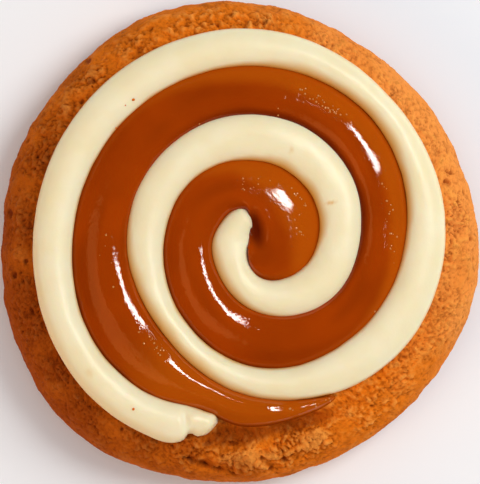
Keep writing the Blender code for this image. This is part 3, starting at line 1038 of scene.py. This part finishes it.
def cream_strand(look):
    """The cream strand with its soft unevenness and the caramel stain and painted shade along its edges."""
    strand = Strand(cream_lapped, look.height, look.sides,
                    (CREAM_COURSE[0][0], CREAM_COURSE[-1][0]), (CREAM_START_NOSE, CREAM_END_NOSE))
    bm, across_layer, turn_layer, along_layer = strand.sweep(bpy.context.scene.cookie.biscuit.height)
    stain_and_shade_layer = bm.verts.layers.float.new("stain_and_shade")
    for vert in bm.verts:
        across, turn, along = vert[across_layer], vert[turn_layer], vert[along_layer]
        wave = noise.noise(Vector((along / CREAM_WAVE_LENGTH, across * 1.2, 2.0)))
        ripple = noise.noise(Vector((along / CREAM_RIPPLE_LENGTH, across * 2.5, 8.0)))
        vert[stain_and_shade_layer] = cream_stain_and_shade(vert.co, across, turn, along)
        if turn > END_FORMS_START:
            vert.co += vert.normal * form_rise(END_FORMS, vert.co.x, vert.co.y)
        vert.co += vert.normal * (CREAM_WAVE * wave + CREAM_RIPPLE * ripple)
    return bm


class COOKIE_OT_cream(bpy.types.Operator):
    """Add the cream strand"""

    bl_idname = "cookie.cream"
    bl_label = "Cream Swirl"

    def execute(self, context):
        look = context.scene.cookie.cream
        finish_piece(cream_strand(look), "piped_cream", cream_finish(look), "cream", "cream_swirl")
        return {"FINISHED"}


def caramel_lean(turn):
    """How far the caramel's crest leans outwards at a turn, as a share of half the width."""
    swing = LEAN_SWING * math.cos(math.radians(turn - LEAN_TURN))
    return CARAMEL_LEAN - swing + CURL_LEAN * (1 - smooth_step(turn, 80, 160))


def caramel_tint(across, turn):
    """(amber, shade): how far a place on the caramel turns amber, where it thins and as painted light on flanks
    facing the lights, and how far painted shade darkens it.
    """
    lit = math.cos(math.radians(turn - LEAN_TURN))
    if across > 0:
        # On the outer side the amber reaches further in on flanks facing the lights: painted light.
        start = 0.72 - 0.5 * max(0.0, lit)
        amber = 0.55 * smooth_step(across, start, start + 0.4)
        shade = 0.8 * max(0.0, -lit) * smooth_step(across, 0.84, 0.97)
    else:
        # On the inner side there is amber only on flanks facing the lights: painted light.
        amber = 0.5 * max(0.0, -lit) * smooth_step(-across, 0.7, 0.95)
        shade = 0.9 * max(0.0, lit) ** 0.6 * smooth_step(-across, 0.32, 0.72)
    return max(amber, TAIL_AMBER * smooth_step(turn, TAIL_START - 30, TAIL_START)), shade


def row_distance(place, row):
    """How far a place seen from above lies from a row of bubbles."""
    start, end = Vector((row[0], row[1], 0.0)), Vector((row[2], row[3], 0.0))
    flat = Vector((place.x, place.y, 0.0))
    _, share = intersect_point_line(flat, start, end)
    share = min(1.0, max(0.0, share))
    return (flat - start.lerp(end, share)).length


def add_bubbles(bm):
    """Small flat domes of caramel in rows, each half sunk into the strand's skin."""
    bubble_glint_layer = bm.verts.layers.float.new("bubble_glint")
    chance = random.Random(6)
    tree = BVHTree.FromBMesh(bm)
    for x1, y1, x2, y2, count, spread in BUBBLE_ROWS:
        for _ in range(count):
            share = chance.random()
            side = chance.uniform(-spread, spread)
            size = chance.uniform(*BUBBLE_SIZE)
            row = Vector((x2 - x1, y2 - y1))
            across = Vector((-row.y, row.x)).normalized() * side
            above = Vector((x1 + row.x * share + across.x, y1 + row.y * share + across.y, DROP_HEIGHT))
            spot, normal, _, _ = tree.ray_cast(above, DOWN)
            if spot is None:
                continue
            turned = normal.to_track_quat("Z", "Y").to_matrix().to_4x4()
            flat = Matrix.Diagonal((size, size, size * BUBBLE_FLATNESS, 1.0))
            ball = bmesh.ops.create_icosphere(
                bm, subdivisions=2, radius=1.0, matrix=Matrix.Translation(spot) @ turned @ flat)
            # A paler tint on each bubble: a painted glint.
            for vert in ball["verts"]:
                vert[bubble_glint_layer] = BUBBLE_GLINT_TINT


def caramel_strand(look):
    """The caramel strand with its pulled ridges, darker folds, thin amber edges with painted light on its lit
    flanks, painted shade in its pit and on its shaded flanks, and bubbles with painted glints.
    """
    strand = Strand(caramel_lapped, look.height, look.sides,
                    (CARAMEL_START, CARAMEL_END), (CARAMEL_START_NOSE, CARAMEL_END_NOSE), lean=caramel_lean)
    bm, across_layer, turn_layer, along_layer = strand.sweep(bpy.context.scene.cookie.biscuit.height)
    fold_layer = bm.verts.layers.float.new("fold")
    pit_shade_layer = bm.verts.layers.float.new("pit")
    ripple_layer = bm.verts.layers.float.new("rippled")
    amber_layer = bm.verts.layers.float.new("amber")
    shade_layer = bm.verts.layers.float.new("shade")
    dull_layer = bm.verts.layers.float.new("dull")
    for vert in bm.verts:
        across, turn, along = vert[across_layer], vert[turn_layer], vert[along_layer]
        top = smooth_step(vert.normal.z, 0.1, 0.6)
        near = min(row_distance(vert.co, row) for row in BUBBLE_ROWS[:RIPPLED_ROWS])
        vert[ripple_layer] = 1 - smooth_step(near, *RIPPLED_REACH)
        pull = noise.noise(Vector((along / PULL_LENGTH, across * 2.2, 1.0)))
        ridge = noise.noise(Vector((along / RIDGE_LENGTH, across * 7.0, 6.0)))
        dent = noise.noise(vert.co / DENT_SIZE)
        # Painted shade in the pit of the curl.
        vert[pit_shade_layer] = 1 - smooth_step(oval_reach(vert.co.x, vert.co.y, CURL_FORMS["pit"]), 0.25, 1.0)
        if turn < CREASE_END:
            vert.co.z += form_rise(CURL_FORMS, vert.co.x, vert.co.y) * top
        vert.co += vert.normal * (PULL_DEPTH * pull + (RIDGE_DEPTH * ridge + DENT_DEPTH * dent) * top)
        streak = noise.noise(Vector((along / STREAK_LENGTH, across * 1.6, 3.0)))
        vert[fold_layer] = smooth_step(streak, -0.1, 0.5) * 0.35
        waver = across + WAVER * noise.noise(Vector((along / WAVER_LENGTH, across, 9.0)))
        amber, shade = caramel_tint(waver, turn)
        vert[amber_layer], vert[shade_layer] = amber, shade
        edge = smooth_step(abs(across), 0.72, 0.92)
        folded = 0.9 * (1 - smooth_step(oval_reach(vert.co.x, vert.co.y, CURL_FORMS["ridge"]), 0.5, 1.3))
        vert[dull_layer] = max(vert[ripple_layer], vert[pit_shade_layer], folded, 0.8 * shade, edge)
    add_bubbles(bm)
    return bm


class COOKIE_OT_caramel(bpy.types.Operator):
    """Add the caramel strand"""

    bl_idname = "cookie.caramel"
    bl_label = "Caramel Swirl"

    def execute(self, context):
        look = context.scene.cookie.caramel
        finish_piece(
            caramel_strand(look), "glossy_caramel", caramel_finish(look), "caramel", "dulce_de_leche_swirl")
        return {"FINISHED"}


def speck_mesh(cream):
    """Crumbs that have dropped on the cream, each a small rough ball half sunk into it."""
    tree = BVHTree.FromObject(cream, bpy.context.evaluated_depsgraph_get())
    bm = bmesh.new()
    for x, y, radius in SPECKS:
        spot, _, _, _ = tree.ray_cast(Vector((x, y, DROP_HEIGHT)), DOWN)
        if spot is not None:
            ball = bmesh.ops.create_icosphere(
                bm, subdivisions=2, radius=radius, matrix=Matrix.Translation(spot))
            for vert in ball["verts"]:
                away = vert.co - spot
                vert.co = spot + away * (1 + 0.5 * noise.noise(vert.co / SPECK_ROUGH_SIZE))
    return bm


class COOKIE_OT_specks(bpy.types.Operator):
    """Add the crumbs on the cream"""

    bl_idname = "cookie.specks"
    bl_label = "Crumbs"

    def execute(self, context):
        crust = bpy.data.materials.get("crumb_crust") or biscuit_finish(context.scene.cookie.biscuit)
        finish_piece(speck_mesh(bpy.data.objects["piped_cream"]), "dropped_crumbs", crust, "baked_biscuit")
        return {"FINISHED"}


# Stage


def stage_floor(look):
    """A plain pale floor under the cookie."""
    bm = bmesh.new()
    bmesh.ops.create_grid(bm, x_segments=1, y_segments=1, size=FLOOR_HALF)
    mesh = bpy.data.meshes.new("floor")
    bm.to_mesh(mesh)
    bm.free()
    finish = Finish("pale_floor")
    darker = rgba([channel * 0.985 for channel in look.floor])
    mottle = finish.group(mottle_group(), Colour=rgba(look.floor), Patch=darker, Scale=4.0, Amount=1.0)
    finish.feed("Base Color", mottle)
    finish.set(Roughness=0.9, Specular_IOR_Level=0.1)
    mesh.materials.append(finish.material)
    floor = bpy.data.objects.new("floor", mesh)
    bpy.context.scene.collection.objects.link(floor)


def area_light(name, place, power, diffuse=True, glossy=True):
    """An area light that points at the cookie, and lights its matt surfaces, its gloss or both."""
    lamp = bpy.data.lights.new(name, "AREA")
    lamp.shape = place["shape"]
    lamp.size, lamp.size_y = place["size"]
    lamp.energy = power
    lamp.color = place["colour"]
    light = bpy.data.objects.new(name, lamp)
    azimuth, zenith = math.radians(place["azimuth"]), math.radians(place["zenith"])
    away = Vector((
        math.cos(azimuth) * math.sin(zenith), math.sin(azimuth) * math.sin(zenith), math.cos(zenith)))
    light.location = away * LIGHT_DISTANCE
    light.rotation_euler = away.to_track_quat("Z", "Y").to_euler()
    light.visible_diffuse = diffuse
    light.visible_glossy = glossy
    bpy.context.scene.collection.objects.link(light)


def sky(strength):
    """Even light from all round."""
    world = bpy.data.worlds.new("studio")
    bpy.context.scene.world = world
    world.use_nodes = True
    background = world.node_tree.nodes["Background"]
    background.inputs["Color"].default_value = rgba(SKY_COLOUR)
    background.inputs["Strength"].default_value = strength
    world.cycles_visibility.glossy = False


def top_camera(lens):
    """A long-lens camera straight above the cookie, with +Y at the top of the picture."""
    data = bpy.data.cameras.new("camera")
    data.sensor_width = CAMERA_SENSOR
    data.lens = lens
    shown_height = SHOWN_WIDTH * FRAME_HEIGHT / FRAME_WIDTH
    distance = shown_height / 2 / (CAMERA_SENSOR / 2 / lens)
    camera = bpy.data.objects.new("camera", data)
    camera.location = (0.0, 0.0, distance + GIRTH_HEIGHT)
    data.clip_end = 2 * distance
    bpy.context.scene.collection.objects.link(camera)
    bpy.context.scene.camera = camera


class COOKIE_OT_stage(bpy.types.Operator):
    """Add the floor, the lights and the camera"""

    bl_idname = "cookie.stage"
    bl_label = "Studio"

    def execute(self, context):
        look = context.scene.cookie.stage
        stage_floor(look)
        area_light("key", KEY, look.key_power, diffuse=False)
        area_light("soft", SOFT, look.soft_power, glossy=False)
        area_light("glow", GLOW, look.glow_power, glossy=False)
        area_light("card", CARD, look.card_power, diffuse=False)
        sky(look.sky)
        top_camera(look.lens)
        context.scene.view_settings.view_transform = "Standard"
        return {"FINISHED"}


class COOKIE_PT_sidebar(bpy.types.Panel):
    """The cookie's pieces, in the 3D view's sidebar"""

    bl_idname = "COOKIE_PT_sidebar"
    bl_label = "Dulce de Leche Cookie"
    bl_space_type = "VIEW_3D"
    bl_region_type = "UI"
    bl_category = "Cookie"

    def draw(self, context):
        for operator in OPERATORS:
            self.layout.operator(operator.bl_idname)
        for name in ("biscuit", "cream", "caramel", "stage"):
            group = getattr(context.scene.cookie, name)
            box = self.layout.box()
            box.label(text=name.capitalize())
            for setting in group.bl_rna.properties:
                if setting.identifier not in ("rna_type", "name"):
                    box.prop(group, setting.identifier)


OPERATORS = (COOKIE_OT_biscuit, COOKIE_OT_cream, COOKIE_OT_caramel, COOKIE_OT_specks, COOKIE_OT_stage)
GROUPS = (COOKIE_PG_biscuit, COOKIE_PG_cream, COOKIE_PG_caramel, COOKIE_PG_stage, COOKIE_PG_settings)
CLASSES = (*GROUPS, *OPERATORS, COOKIE_PT_sidebar)


def register():
    """Register the classes and hang the settings on the scene."""
    for thing in CLASSES:
        bpy.utils.register_class(thing)
    bpy.types.Scene.cookie = PointerProperty(type=COOKIE_PG_settings)


def unregister():
    """Take the settings and the classes away again."""
    del bpy.types.Scene.cookie
    for thing in reversed(CLASSES):
        bpy.utils.unregister_class(thing)


def main():
    """Build the cookie and its stage."""
    register()
    bpy.ops.cookie.biscuit()
    bpy.ops.cookie.cream()
    bpy.ops.cookie.caramel()
    bpy.ops.cookie.specks()
    bpy.ops.cookie.stage()


if __name__ == "__main__":
    main()
